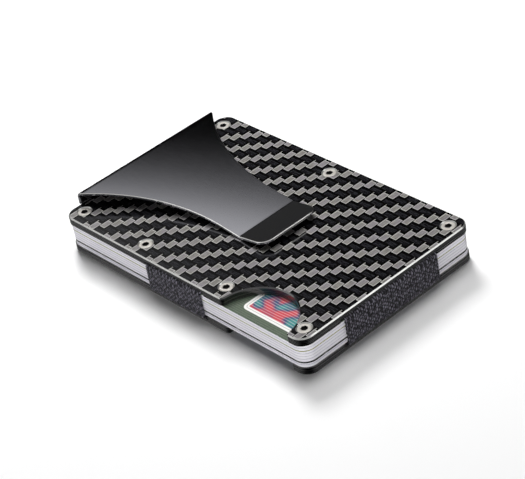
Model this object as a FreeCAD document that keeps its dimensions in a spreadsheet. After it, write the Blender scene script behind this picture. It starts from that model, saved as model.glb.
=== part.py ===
import FreeCAD, Part
import math
import os

import Sketcher
from FreeCAD import Placement, Rotation, Vector

# A slim card holder with a money clip: two sandwich plates squeeze a stack of cards between them,
# two elastic straps pull the plates together, and a sprung sheet-steel clip on the lid holds notes.
# X runs along the plates from the clip's wall towards the end strap, Y runs across them towards the
# open long side, Z is up. The origin is the middle of the base plate's lower face.

# Driving dimensions, in millimetres.
SIZES = {
    # identity cards and how many are carried
    "card_length": 85.6,
    "card_width": 53.98,
    "card_thickness": 0.76,
    "card_corner": 3.18,
    "card_count": 8,
    # plates
    "plate_margin": 0.2,
    "plate_corner": 3.2,
    "outer_thickness": 1.1,
    "pocket_floor": 0.15,
    "edge_chamfer": 0.28,
    # thumb notch, a half round let into the strapped long side of every plate
    "notch_radius": 10.6,
    "notch_end_land": 5.4,
    "notch_mouth": 1.1,
    # countersunk screws
    "screw_end_inset": 3.45,
    "screw_side_inset": 4.05,
    "screw_notch_land": 2.85,
    "screw_strap_land": 4.9,
    "screw_middle_place": 0.0,
    "screw_diameter": 2.0,
    "screw_head": 3.8,
    "screw_recess": 0.06,
    "screw_seat_land": 0.14,
    "screw_tip_gap": 0.1,
    "screw_gap": 0.02,
    "socket_across": 1.5,
    "socket_depth": 0.6,
    # elastic straps and the bars moulded on their ends
    "strap_thickness": 0.6,
    "strap_inner_bend": 0.25,
    "strap_reach": 7.2,
    "strap_gap": 0.05,
    "strap_side_gap": 0.5,
    "side_strap_width": 19.4,
    "end_strap_width": 29.6,
    "relief_depth": 1.2,
    "relief_round": 0.5,
    "anchor_overhang": 2.4,
    "anchor_depth": 2.4,
    # money clip, one bent sheet
    "clip_thickness": 0.7,
    "clip_gap": 0.05,
    "clip_half_width": 22.0,
    "clip_root_inset": 1.0,
    "clip_root_round": 0.9,
    "clip_shoulder": 0.3,
    "clip_rise": 3.85,
    "clip_foot_bend": 0.9,
    "clip_crown": 1.7,
    "clip_bow": 520.0,
    "clip_reach": 45.4,
    "clip_neck_half": 8.9,
    "clip_neck_start": 39.0,
    "clip_tip_gap": 0.12,
    "clip_tip_bend": 1.0,
    "clip_split": 1.2,
    "clip_split_gap": 0.02,
    "clip_sweep_start": 0.4,
    "lip_length": 9.2,
    "lip_lift": 1.5,
    "lip_round": 3.0,
    "lip_trim": 0.1,
    "ear_setback": 1.1,
    "ear_margin": 2.2,
    "ear_round": 0.9,
    # how far a cutting shape runs past what it cuts
    "cut_overrun": 1.0,
}

# Derived places and lengths, as expressions on the sheet.
HALF_LENGTH = "(Sizes.card_length / 2 + Sizes.plate_margin)"
HALF_WIDTH = "(Sizes.card_width / 2 + Sizes.plate_margin)"
STACK = "(Sizes.card_count * Sizes.card_thickness)"
STRAP_BED = "(Sizes.strap_thickness + 2 * Sizes.strap_gap)"
FOOT_POCKET = "(Sizes.clip_thickness + 2 * Sizes.clip_gap)"
INNER = f"(max({STRAP_BED}; {FOOT_POCKET}) + Sizes.pocket_floor)"
SANDWICH = f"(Sizes.outer_thickness + {INNER})"
LID_UNDERSIDE = f"({SANDWICH} + {STACK})"
LID_SEAM = f"({LID_UNDERSIDE} + {INNER})"
LID_TOP = f"({LID_UNDERSIDE} + {SANDWICH})"
SCREW_END = f"({HALF_LENGTH} - Sizes.screw_end_inset)"
SCREW_SIDE = f"({HALF_WIDTH} - Sizes.screw_side_inset)"
SCREW_HOLE = "(Sizes.screw_diameter + 2 * Sizes.screw_gap)"
SCREW_SINK = "(Sizes.outer_thickness - Sizes.screw_recess - Sizes.screw_seat_land)"
SCREW_SLOPE = f"((Sizes.screw_head - Sizes.screw_diameter) / 2 / {SCREW_SINK})"
NOTCH_X = f"({HALF_LENGTH} - Sizes.notch_end_land - Sizes.notch_radius)"
FRONT_SCREW_X = f"({NOTCH_X} - Sizes.notch_radius - Sizes.screw_notch_land)"
SIDE_STRAP_X = f"({FRONT_SCREW_X} - Sizes.screw_strap_land - Sizes.side_strap_width / 2)"
REAR_SCREW_X = f"({SIDE_STRAP_X} - Sizes.side_strap_width / 2 - Sizes.screw_strap_land)"
CROWN_TOP = f"({LID_TOP} + Sizes.clip_rise)"
FOOT_UNDERSIDE = f"({LID_SEAM} - Sizes.clip_gap - Sizes.clip_thickness)"
SPLIT = f"(-{HALF_LENGTH} + Sizes.clip_split)"

# Sketch planes: local x and y of the sketch along these axes.
ALONG_XZ = Rotation(Vector(1, 0, 0), 90)
ALONG_YZ = Rotation(Vector(0, 1, 0), Vector(0, 0, 1), Vector(1, 0, 0), "ZXY")
TURNED_OVER = Rotation(Vector(1, 0, 0), 180)

# How an edge is picked out: nearly upright, this near its place, or at this height to within a hair.
UPRIGHT = 0.9
NEARBY = 0.1
HAIR = 1e-4

doc = FreeCAD.newDocument("card_holder")
sheet = doc.addObject("Spreadsheet::Sheet", "Sizes")
for row, (alias, number) in enumerate(SIZES.items(), start=1):
    sheet.set(f"A{row}", alias)
    sheet.set(f"B{row}", str(number))
    sheet.setAlias(f"B{row}", alias)
doc.recompute()


def number(expression):
    """The present value of an expression on the sheet."""
    return float(sheet.evalExpression(expression))


def bind(thing, **expressions):
    """Ties properties of an object to expressions; two underscores stand for a dot."""
    for name, expression in expressions.items():
        thing.setExpression(name.replace("__", "."), expression)
    return thing


# --- sketches -------------------------------------------------------------------------------------

def constrain(sketch, kind, *where, to):
    """A dimension constraint tied to an expression."""
    index = sketch.addConstraint(Sketcher.Constraint(kind, *where, number(to)))
    sketch.setExpression(f"Constraints[{index}]", to)


def pin(sketch, item, point, x=None, y=None):
    """Ties a point of a sketch item to a place measured from the sketch's origin."""
    if x is not None:
        constrain(sketch, "DistanceX", -1, 1, item, point, to=x)
    if y is not None:
        constrain(sketch, "DistanceY", -1, 1, item, point, to=y)


def outline(sketch, corners):
    """A closed outline through (x, y) or (x, y, rounding) corners."""
    count = len(corners)
    places = [Vector(number(corner[0]), number(corner[1]), 0) for corner in corners]
    for index in range(count):
        sketch.addGeometry(Part.LineSegment(places[index], places[(index + 1) % count]), False)
    for index, corner in enumerate(corners):
        sketch.addConstraint(Sketcher.Constraint("Coincident", (index - 1) % count, 2, index, 1))
        pin(sketch, index, 1, corner[0], corner[1])
    for index, corner in enumerate(corners):
        if len(corner) == 3:
            before = (index - 1) % count
            ends = [sketch.Geometry[side] for side in (before, index)]
            middles = [(line.StartPoint + line.EndPoint) / 2 for line in ends]
            sketch.fillet(before, index, *middles, number(corner[2]), True, True)
            arc = max(i for i, item in enumerate(sketch.Geometry) if isinstance(item, Part.ArcOfCircle))
            constrain(sketch, "Radius", arc, to=corner[2])


def circles(sketch, centres, radius):
    """Equal circles at (x, y) centres."""
    for x, y in centres:
        ring = Part.Circle(Vector(number(x), number(y), 0), Vector(0, 0, 1), number(radius))
        item = sketch.addGeometry(ring, False)
        pin(sketch, item, 3, x, y)
        constrain(sketch, "Radius", item, to=radius)


def arc_between(centre, radius, start, end):
    """An arc from one angle to another, anticlockwise, in degrees."""
    circle = Part.Circle(Vector(*centre, 0), Vector(0, 0, 1), radius)
    return Part.ArcOfCircle(circle, math.radians(start), math.radians(end))


def bowed(start, end, radius):
    """An arc of a large radius from one point to another on its right, bulging upwards."""
    half_run, half_drop = (end[0] - start[0]) / 2, (start[1] - end[1]) / 2
    half_chord = math.hypot(half_run, half_drop)
    depth = math.sqrt(radius ** 2 - half_chord ** 2) / half_chord
    centre = (start[0] + half_run - depth * half_drop, start[1] - half_drop - depth * half_run)
    angles = [math.degrees(math.atan2(z - centre[1], x - centre[0])) for x, z in (end, start)]
    return arc_between(centre, radius, *angles)


def free_sketch(name, rotation=Rotation(), **places):
    """A sketch that belongs to no body, on a plane of the model's frame."""
    sketch = doc.addObject("Sketcher::SketchObject", name)
    sketch.Placement = Placement(Vector(0, 0, 0), rotation)
    return bind(sketch, **{f"Placement__Base__{axis}": place for axis, place in places.items()})


# --- solid features -------------------------------------------------------------------------------

def body_sketch(body, name, height="0"):
    """A sketch on a body's own XY plane, raised to a height."""
    plane = next(item for item in body.Origin.OriginFeatures if item.Role == "XY_Plane")
    sketch = body.newObject("Sketcher::SketchObject", name)
    sketch.AttachmentSupport = [(plane, "")]
    sketch.MapMode = "FlatFace"
    return bind(sketch, AttachmentOffset__Base__z=height)


def pad(body, sketch, length):
    """Raises a body's sketch into a solid."""
    feature = body.newObject("PartDesign::Pad", f"{sketch.Name}_pad")
    feature.Profile = sketch
    bind(feature, Length=length)
    doc.recompute()
    return feature


def pocket(body, sketch, depth=None):
    """Cuts down from a body's sketch, by a depth or right through, and makes sure that it cut."""
    before = body.Shape.Volume
    feature = body.newObject("PartDesign::Pocket", f"{sketch.Name}_pocket")
    feature.Profile = sketch
    if depth:
        bind(feature, Length=depth)
    else:
        feature.Type = "ThroughAll"
    doc.recompute()
    if feature.Shape.Volume >= before:
        raise RuntimeError(f"{feature.Name} cuts nothing")
    return feature


def dress(body, kind, name, edges, size, expression):
    """A fillet or chamfer on edges of the body's last feature."""
    feature = body.newObject(f"PartDesign::{kind}", name)
    feature.Base = (edges[0], edges[1])
    feature.setExpression(size, expression)
    doc.recompute()
    return feature


def edges_where(feature, test):
    """The feature and the names of its edges that pass a test."""
    names = [f"Edge{i}" for i, edge in enumerate(feature.Shape.Edges, start=1) if test(edge)]
    if not names:
        raise RuntimeError(f"{feature.Name} has no such edges")
    return feature, names


def prism(name, sketch, length):
    """Extrudes a free sketch along its plane's normal."""
    solid = doc.addObject("Part::Extrusion", name)
    solid.Base = sketch
    solid.DirMode = "Normal"
    solid.Solid = True
    return bind(solid, LengthFwd=length)


def bent_strip(name, sketch, thickness, width):
    """A strip of even thickness whose one face follows an open sketch, as wide as asked about it. The
    thickness goes to the sketch's outer or inner side by its sign."""
    section = doc.addObject("Part::Offset2D", f"{name}_section")
    section.Source = sketch
    section.Mode = "Skin"
    section.Fill = True
    bind(section, Value=thickness)
    strip = doc.addObject("Part::Extrusion", name)
    strip.Base = section
    strip.DirMode = "Custom"
    strip.Dir = sketch.Placement.Rotation.multVec(Vector(0, 0, 1))
    strip.Solid = True
    strip.Symmetric = True
    return bind(strip, LengthFwd=width)


def boolean(kind, name, base, tool):
    """Cuts, joins or intersects two objects."""
    result = doc.addObject(f"Part::{kind}", name)
    result.Base = base
    result.Tool = tool
    return result


def box(name, low, high):
    """A box between two corners given as expressions."""
    solid = doc.addObject("Part::Box", name)
    for axis, side, start, end in zip("xyz", ("Length", "Width", "Height"), low, high):
        solid.setExpression(f"Placement.Base.{axis}", start)
        solid.setExpression(side, f"{end} - {start}")
    return solid


# --- where things are on a plate ------------------------------------------------------------------
# Both sandwiches use the same plates, one of them turned over about the X axis. near is the side of the
# plate's own Y axis that ends up on the notched long side: -1 in the lid, +1 in the turned base.

def screw_centres(near):
    """The seven screws of a sandwich: four corners, two beside the side strap, one opposite it."""
    corners = [(f"{end} * {SCREW_END}", f"{side} * {SCREW_SIDE}") for end in (-1, 1) for side in (-1, 1)]
    beside = [(place, f"{near} * {SCREW_SIDE}") for place in (REAR_SCREW_X, FRONT_SCREW_X)]
    return corners + beside + [("Sizes.screw_middle_place", f"{-near} * {SCREW_SIDE}")]


def rectangle(x_low, x_high, y_low, y_high, *rounding):
    """Corners of a rectangle, anticlockwise."""
    return [(x, y, *rounding) for x, y in
            ((x_low, y_low), (x_high, y_low), (x_high, y_high), (x_low, y_high))]


def strap_bed(edge, centre, half_width, across):
    """Corners of a strap's bed: it opens at the plate's edge and widens for the bar at its end."""
    mouth = f"{edge[0]} * ({edge[1]} + Sizes.cut_overrun)"
    bar_front = f"{edge[0]} * ({edge[1]} - Sizes.strap_reach)"
    bar_back = f"{edge[0]} * ({edge[1]} - Sizes.strap_reach - Sizes.anchor_depth - Sizes.strap_gap)"
    strap_half = f"({half_width} + Sizes.strap_side_gap)"
    bar_half = f"({half_width} + Sizes.anchor_overhang + Sizes.strap_gap)"
    steps = [(mouth, -1, strap_half), (bar_front, -1, strap_half), (bar_front, -1, bar_half),
             (bar_back, -1, bar_half), (bar_back, 1, bar_half), (bar_front, 1, bar_half),
             (bar_front, 1, strap_half), (mouth, 1, strap_half)]
    corners = [(inward, f"({centre} + {side} * {half})") for inward, side, half in steps]
    return [(place, inward) for inward, place in corners] if across else corners


def foot_corners(gap):
    """Corners of the clip's foot, or of its pocket when a gap is given all round."""
    mouth = f"(-{HALF_LENGTH} - Sizes.cut_overrun)"
    root = f"(Sizes.clip_half_width - Sizes.clip_root_inset + {gap})"
    ear_start = f"(-{HALF_LENGTH} + Sizes.ear_setback - {gap})"
    ear_end = f"(-{SCREW_END} + Sizes.ear_margin + {gap})"
    ear = f"({SCREW_SIDE} + Sizes.ear_margin + {gap})"
    return [(mouth, f"-{root}"), (ear_start, f"-{root}"), (ear_start, f"-{ear}", "Sizes.ear_round"),
            (ear_end, f"-{ear}", "Sizes.ear_round"), (ear_end, ear, "Sizes.ear_round"),
            (ear_start, ear, "Sizes.ear_round"), (ear_start, root), (mouth, root)]


def plate_blank(name, thickness, near):
    """A rounded plate with the thumb notch let into its near long side."""
    body = doc.addObject("PartDesign::Body", name)
    face = body_sketch(body, f"{name}_face")
    outline(face, rectangle(f"-{HALF_LENGTH}", HALF_LENGTH, f"-{HALF_WIDTH}", HALF_WIDTH,
                            "Sizes.plate_corner"))
    pad(body, face, thickness)
    notch = body_sketch(body, f"{name}_notch", thickness)
    circles(notch, [(NOTCH_X, f"{near} * {HALF_WIDTH}")], "Sizes.notch_radius")
    cut = pocket(body, notch)
    mouth = [number(f"{NOTCH_X} + {side} * Sizes.notch_radius") for side in (-1, 1)]

    def at_mouth(edge):
        centre = edge.CenterOfMass
        upright = abs(edge.tangentAt(edge.FirstParameter).z) > UPRIGHT
        return upright and min(abs(centre.x - place) for place in mouth) < NEARBY

    dress(body, "Fillet", f"{name}_mouth", edges_where(cut, at_mouth), "Radius", "Sizes.notch_mouth")
    return body


def outer_plate(name, near, clipped):
    """A woven outer plate: bevelled rim, seven countersunk holes, and a slot for the clip's wall."""
    body = plate_blank(name, "Sizes.outer_thickness", near)
    top = number("Sizes.outer_thickness")

    def on_rim(edge):
        return all(abs(vertex.Z - top) < HAIR for vertex in edge.Vertexes)

    dress(body, "Chamfer", f"{name}_bevel", edges_where(body.Tip, on_rim), "Size", "Sizes.edge_chamfer")
    if clipped:
        slot = body_sketch(body, f"{name}_clip_slot", "Sizes.outer_thickness")
        side = "(Sizes.clip_half_width - Sizes.clip_root_inset + Sizes.clip_gap)"
        outline(slot, rectangle(f"(-{HALF_LENGTH} - Sizes.cut_overrun)",
                                f"(-{HALF_LENGTH} + Sizes.clip_foot_bend + Sizes.clip_gap)",
                                f"-{side}", side))
        pocket(body, slot)
    spots = body_sketch(body, f"{name}_spots", "Sizes.outer_thickness")
    circles(spots, screw_centres(near), "Sizes.screw_diameter / 2")
    doc.recompute()
    before = body.Shape.Volume
    hole = body.newObject("PartDesign::Hole", f"{name}_holes")
    hole.Profile = spots
    doc.recompute()
    hole.DepthType = "ThroughAll"
    hole.ThreadType = "None"
    hole.HoleCutType = "Countersink"
    hole.HoleCutCustomValues = True
    bind(hole, Diameter=SCREW_HOLE, HoleCutCountersinkAngle=f"2 * atan({SCREW_SLOPE})",
         HoleCutDiameter=f"Sizes.screw_head + 2 * Sizes.screw_recess * {SCREW_SLOPE} + 2 * Sizes.screw_gap")
    doc.recompute()
    if hole.Shape.Volume >= before:
        raise RuntimeError(f"{hole.Name} cuts nothing")
    return body


def inner_plate(name, near, clipped):
    """A metal inner plate: tapped holes, beds for both straps, and a pocket for the clip's foot."""
    body = plate_blank(name, INNER, near)
    side_half = "(Sizes.side_strap_width / 2)"
    end_half = "(Sizes.end_strap_width / 2)"
    reliefs = [
        rectangle(f"({SIDE_STRAP_X} - {side_half} - Sizes.strap_side_gap)",
                  f"({SIDE_STRAP_X} + {side_half} + Sizes.strap_side_gap)",
                  *sorted([f"{near} * ({HALF_WIDTH} - Sizes.relief_depth)",
                           f"{near} * ({HALF_WIDTH} + Sizes.cut_overrun)"], key=number)),
        rectangle(f"({HALF_LENGTH} - Sizes.relief_depth)", f"({HALF_LENGTH} + Sizes.cut_overrun)",
                  f"(-{end_half} - Sizes.strap_side_gap)", f"({end_half} + Sizes.strap_side_gap)"),
    ]
    for which, corners in zip(("side", "end"), reliefs):
        relief = body_sketch(body, f"{name}_{which}_relief", INNER)
        outline(relief, corners)
        relieved = pocket(body, relief)
    mouths = [(number(x), number(f"{near} * {HALF_WIDTH}")) for x, _ in reliefs[0][:2]]
    mouths += [(number(HALF_LENGTH), number(y)) for _, y in reliefs[1][1:3]]

    def at_relief(edge):
        centre = edge.CenterOfMass
        upright = abs(edge.tangentAt(edge.FirstParameter).z) > UPRIGHT
        return upright and any(abs(centre.x - x) + abs(centre.y - y) < NEARBY for x, y in mouths)

    dress(body, "Fillet", f"{name}_relief_round", edges_where(relieved, at_relief), "Radius",
          "Sizes.relief_round")
    beds = {
        "side_bed": strap_bed((near, HALF_WIDTH), SIDE_STRAP_X, side_half, True),
        "end_bed": strap_bed((1, HALF_LENGTH), "0", end_half, False),
    }
    for bed, corners in beds.items():
        floor = body_sketch(body, f"{name}_{bed}", INNER)
        outline(floor, corners)
        pocket(body, floor, STRAP_BED)
    if clipped:
        floor = body_sketch(body, f"{name}_foot_bed", INNER)
        outline(floor, foot_corners("Sizes.clip_gap"))
        pocket(body, floor, FOOT_POCKET)
    tapped = body_sketch(body, f"{name}_tapped", INNER)
    circles(tapped, screw_centres(near), f"{SCREW_HOLE} / 2")
    pocket(body, tapped)
    return body


# --- screws ---------------------------------------------------------------------------------------

def screw_pattern():
    """One countersunk screw, its head's face at z = 0 and its tip pointing down."""
    length = f"({SANDWICH} - Sizes.screw_recess - Sizes.screw_tip_gap)"
    shank = doc.addObject("Part::Cylinder", "screw_shank")
    bind(shank, Radius="Sizes.screw_diameter / 2", Height=length, Placement__Base__z=f"-{length}")
    head = doc.addObject("Part::Cone", "screw_cone")
    bind(head, Radius1="Sizes.screw_diameter / 2", Radius2="Sizes.screw_head / 2", Height=SCREW_SINK,
         Placement__Base__z=f"-{SCREW_SINK}")
    socket = doc.addObject("Part::Prism", "screw_socket")
    socket.Polygon = 6
    bind(socket, Circumradius="Sizes.socket_across / sqrt(3)", Height="2 * Sizes.socket_depth",
         Placement__Base__z="-Sizes.socket_depth")
    return boolean("Cut", "screw", boolean("Fuse", "screw_blank", head, shank), socket)


def screw_set(name, pattern, face, lift, rotation):
    """Seven screws with their heads sunk into one outer plate."""
    copies = []
    for index, (x, y) in enumerate(screw_centres(-1), start=1):
        copy = doc.addObject("App::Link", f"{name}_{index}")
        copy.LinkedObject = pattern
        copy.Placement = Placement(Vector(0, 0, 0), rotation)
        bind(copy, Placement__Base__x=x, Placement__Base__y=y,
             Placement__Base__z=f"{face} {lift} Sizes.screw_recess")
        copies.append(copy)
    group = doc.addObject("Part::Compound", name)
    group.Links = copies
    return group


# --- straps ---------------------------------------------------------------------------------------

def strap(name, rotation, out, edge, width, place):
    """An elastic strap bent into a U around the plates' edge; out is the side of the sketch's own x
    axis that it wraps. It is anchored between the outer and the inner plate of each sandwich."""
    sketch = free_sketch(f"{name}_path", rotation, **place)
    tip = f"{out} * ({edge} - Sizes.strap_reach)"
    skin = f"{out} * ({edge} + Sizes.strap_gap + Sizes.strap_thickness)"
    low = "(Sizes.outer_thickness + Sizes.strap_gap)"
    high = f"({LID_SEAM} - Sizes.strap_gap)"
    bend = "(Sizes.strap_inner_bend + Sizes.strap_thickness)"
    radius = number(bend)
    turn = number(skin) - out * radius
    heights = number(low), number(high)
    for height in heights:
        sketch.addGeometry(Part.LineSegment(Vector(number(tip), height, 0), Vector(turn, height, 0)), False)
    sketch.addGeometry(Part.LineSegment(Vector(number(skin), heights[0] + radius, 0),
                                        Vector(number(skin), heights[1] - radius, 0)), False)
    low_start, high_start = (270, 0) if out > 0 else (180, 90)
    sketch.addGeometry(arc_between((turn, heights[0] + radius), radius, low_start, low_start + 90), False)
    sketch.addGeometry(arc_between((turn, heights[1] - radius), radius, high_start, high_start + 90), False)
    leg_end, run_end = (1, 2) if out > 0 else (2, 1)
    for leg, arc, run_point in ((0, 3, 1), (1, 4, 2)):
        at_leg, at_run = (leg_end, run_end) if leg == 0 else (run_end, leg_end)
        sketch.addConstraint(Sketcher.Constraint("Tangent", leg, 2, arc, at_leg))
        sketch.addConstraint(Sketcher.Constraint("Tangent", arc, at_run, 2, run_point))
        sketch.addConstraint(Sketcher.Constraint("Horizontal", leg))
        pin(sketch, leg, 1, tip, (low, high)[leg])
        constrain(sketch, "Radius", arc, to=bend)
    pin(sketch, 2, 1, x=skin)
    doc.recompute()
    return bent_strip(name, sketch, "Sizes.strap_thickness", width)


def anchor(name, across, lid):
    """The stiff bar on one end of a strap; it is wider than the strap, so it can't pull out."""
    half = "(Sizes.side_strap_width / 2)" if across else "(Sizes.end_strap_width / 2)"
    centre = SIDE_STRAP_X if across else "0"
    edge = HALF_WIDTH if across else HALF_LENGTH
    front = f"({edge} - Sizes.strap_reach)"
    back = f"({edge} - Sizes.strap_reach - Sizes.anchor_depth)"
    span = [f"({centre} {sign} ({half} + Sizes.anchor_overhang))" for sign in "-+"]
    level = f"({LID_SEAM} - Sizes.strap_gap - Sizes.strap_thickness)" if lid \
        else "(Sizes.outer_thickness + Sizes.strap_gap)"
    top = f"({level} + Sizes.strap_thickness)"
    if across:
        return box(name, (span[0], f"-{front}", level), (span[1], f"-{back}", top))
    return box(name, (back, span[0], level), (front, span[1], top))


# --- money clip -----------------------------------------------------------------------------------

def clip_strip():
    """The clip's sheet before its outline is cut: foot, wall, long leaf down to the tip, raised lip."""
    sketch = free_sketch("clip_path", ALONG_XZ)
    wall, foot, crown = number(f"-{HALF_LENGTH}"), number(FOOT_UNDERSIDE), number(CROWN_TOP)
    foot_bend, crown_bend, tip_bend = SIZES["clip_foot_bend"], SIZES["clip_crown"], SIZES["clip_tip_bend"]
    tip_x = f"(-{HALF_LENGTH} + Sizes.clip_reach)"
    tip_z = f"({LID_TOP} + Sizes.clip_tip_gap + Sizes.clip_thickness + Sizes.clip_tip_bend)"
    lip_x = f"({tip_x} + Sizes.lip_length)"
    lip_z = f"({tip_z} - Sizes.clip_tip_bend + Sizes.lip_lift)"
    foot_end = f"(-{SCREW_END} + Sizes.ear_margin)"
    tip, lip = (number(tip_x), number(tip_z)), (number(lip_x), number(lip_z))
    tip_low = (tip[0], tip[1] - tip_bend)
    lines = [((number(foot_end), foot), (wall + foot_bend, foot)),
             ((wall, foot + foot_bend), (wall, crown - crown_bend)),
             (tip_low, lip)]
    for start, end in lines:
        sketch.addGeometry(Part.LineSegment(Vector(*start, 0), Vector(*end, 0)), False)
    sketch.addGeometry(bowed((wall + crown_bend, crown), tip_low, SIZES["clip_bow"]), False)
    sketch.addGeometry(arc_between((wall + foot_bend, foot + foot_bend), foot_bend, 180, 270), False)
    sketch.addGeometry(arc_between((wall + crown_bend, crown - crown_bend), crown_bend, 86, 180), False)
    sketch.addGeometry(arc_between(tip, tip_bend, 266, 280), False)
    # The arcs' angles are rough, and the constraints settle them. The items are 0 foot, 1 wall,
    # 2 lip, 3 leaf, 4 bend under the wall, 5 crown and 6 tip.
    joins = [(0, 2, 4, 2), (4, 1, 1, 1), (1, 2, 5, 2), (5, 1, 3, 2), (3, 1, 6, 1), (6, 2, 2, 1)]
    for join in joins:
        sketch.addConstraint(Sketcher.Constraint("Tangent", *join))
    sketch.addConstraint(Sketcher.Constraint("Horizontal", 0))
    sketch.addConstraint(Sketcher.Constraint("Vertical", 1))
    pin(sketch, 0, 1, foot_end, FOOT_UNDERSIDE)
    pin(sketch, 1, 1, x=f"-{HALF_LENGTH}")
    pin(sketch, 5, 3, y=f"({CROWN_TOP} - Sizes.clip_crown)")
    pin(sketch, 6, 3, tip_x, tip_z)
    pin(sketch, 2, 2, lip_x, lip_z)
    for arc, radius in enumerate(("clip_bow", "clip_foot_bend", "clip_crown", "clip_tip_bend"), start=3):
        constrain(sketch, "Radius", arc, to=f"Sizes.{radius}")
    doc.recompute()
    width = f"2 * ({HALF_WIDTH} + Sizes.clip_half_width)"
    return bent_strip("clip_sheet", sketch, "-Sizes.clip_thickness", width)


def leaf_outline():
    """The leaf seen from above: full width at the wall, swept in to a narrow neck, a rounded lip."""
    sketch = free_sketch("clip_leaf_outline", z=LID_TOP)
    back = f"({SPLIT} + Sizes.clip_split_gap)"
    swept = f"({SPLIT} + Sizes.clip_sweep_start)"
    neck_x = f"(-{HALF_LENGTH} + Sizes.clip_neck_start)"
    front = f"(-{HALF_LENGTH} + Sizes.clip_reach + Sizes.lip_length - Sizes.lip_trim)"
    wide, narrow, rounding = SIZES["clip_half_width"], SIZES["clip_neck_half"], SIZES["lip_round"]
    run, step = number(neck_x) - number(swept), wide - narrow
    sweep = (run ** 2 + step ** 2) / (2 * step)
    turned = FreeCAD.Units.Quantity(f"atan({run} / {sweep - step})").Value
    for side in (1, -1):
        sketch.addGeometry([
            Part.LineSegment(Vector(number(back), side * wide, 0), Vector(number(swept), side * wide, 0)),
            arc_between((number(neck_x), side * (narrow + sweep)), sweep,
                        *((270 - turned, 270) if side > 0 else (90, 90 + turned))),
            Part.LineSegment(Vector(number(neck_x), side * narrow, 0),
                             Vector(number(front) - rounding, side * narrow, 0)),
            arc_between((number(front) - rounding, side * (narrow - rounding)), rounding,
                        *((0, 90) if side > 0 else (270, 360))),
        ], False)
    front_line = Part.LineSegment(Vector(number(front), rounding - narrow, 0),
                                  Vector(number(front), narrow - rounding, 0))
    back_line = Part.LineSegment(Vector(number(back), -wide, 0), Vector(number(back), wide, 0))
    sketch.addGeometry([front_line, back_line], False)
    for first, side, wall_end, neck_end in ((0, 1, 1, 2), (4, -1, 2, 1)):
        edge, arc, neck, corner = range(first, first + 4)
        sketch.addConstraint([
            Sketcher.Constraint("Horizontal", edge),
            Sketcher.Constraint("Horizontal", neck),
            Sketcher.Constraint("Coincident", edge, 2, arc, wall_end),
            Sketcher.Constraint("Tangent", arc, neck_end, neck, 1),
            Sketcher.Constraint("Tangent", neck, 2, corner, neck_end),
            Sketcher.Constraint("Tangent", corner, wall_end, 8, 2 if side > 0 else 1),
            Sketcher.Constraint("Coincident", edge, 1, 9, 2 if side > 0 else 1),
        ])
        pin(sketch, edge, 1, back, f"{side} * Sizes.clip_half_width")
        pin(sketch, edge, 2, x=swept)
        pin(sketch, neck, 1, neck_x, f"{side} * Sizes.clip_neck_half")
        constrain(sketch, "Radius", corner, to="Sizes.lip_round")
    sketch.addConstraint(Sketcher.Constraint("Vertical", 8))
    pin(sketch, 8, 1, x=front)
    return sketch


def clip_foot(sheet_metal):
    """The fixed end of the clip: a foot with two screwed ears under the outer plate, and the wall."""
    plan = free_sketch("clip_foot_plan", z=f"({FOOT_UNDERSIDE} - Sizes.cut_overrun)")
    outline(plan, foot_corners("0"))
    front = free_sketch("clip_wall_front", ALONG_YZ, x=f"(-{HALF_LENGTH} - Sizes.cut_overrun)")
    root = "(Sizes.clip_half_width - Sizes.clip_root_inset)"
    shoulder = f"({LID_TOP} + Sizes.clip_shoulder)"
    low = f"({FOOT_UNDERSIDE} - Sizes.cut_overrun)"
    high = f"({CROWN_TOP} + Sizes.cut_overrun)"
    outline(front, [
        (f"-{root}", low), (root, low), (root, shoulder),
        ("Sizes.clip_half_width", shoulder, "Sizes.clip_root_round"), ("Sizes.clip_half_width", high),
        ("-Sizes.clip_half_width", high),
        ("-Sizes.clip_half_width", shoulder, "Sizes.clip_root_round"), (f"-{root}", shoulder)])
    mask = boolean("Fuse", "clip_foot_mask", prism("clip_foot_area", plan, f"{LID_SEAM} - {low}"),
                   prism("clip_wall_area", front, f"{SPLIT} + {HALF_LENGTH} + Sizes.cut_overrun"))
    blank = boolean("Common", "clip_foot_blank", sheet_metal, mask)
    spots = free_sketch("clip_foot_spots", z=low)
    circles(spots, [(f"-{SCREW_END}", f"{side} * {SCREW_SIDE}") for side in (-1, 1)], f"{SCREW_HOLE} / 2")
    return boolean("Cut", "clip_foot", blank, prism("clip_foot_holes", spots, f"{LID_SEAM} - {low}"))


# --- cards ----------------------------------------------------------------------------------------

def card(index):
    """One identity card; the first lies on the base."""
    name = f"card_{index}"
    body = doc.addObject("PartDesign::Body", name)
    face = body_sketch(body, f"{name}_face")
    outline(face, rectangle("-Sizes.card_length / 2", "Sizes.card_length / 2",
                            "-Sizes.card_width / 2", "Sizes.card_width / 2", "Sizes.card_corner"))
    pad(body, face, "Sizes.card_thickness")
    return bind(body, Placement__Base__z=f"{SANDWICH} + {index - 1} * Sizes.card_thickness")


# --- assembly -------------------------------------------------------------------------------------

nodes = {}
for sandwich, near, turn in (("bottom", 1, TURNED_OVER), ("top", -1, Rotation())):
    is_lid = sandwich == "top"
    nodes[f"{sandwich}_outer_plate"] = outer_plate(f"{sandwich}_outer_plate", near, is_lid)
    nodes[f"{sandwich}_inner_plate"] = inner_plate(f"{sandwich}_inner_plate", near, is_lid)
    for node in (f"{sandwich}_outer_plate", f"{sandwich}_inner_plate"):
        nodes[node].Placement = Placement(Vector(0, 0, 0), turn)
bind(nodes["bottom_outer_plate"], Placement__Base__z="Sizes.outer_thickness")
bind(nodes["bottom_inner_plate"], Placement__Base__z=SANDWICH)
bind(nodes["top_inner_plate"], Placement__Base__z=LID_UNDERSIDE)
bind(nodes["top_outer_plate"], Placement__Base__z=LID_SEAM)

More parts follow.
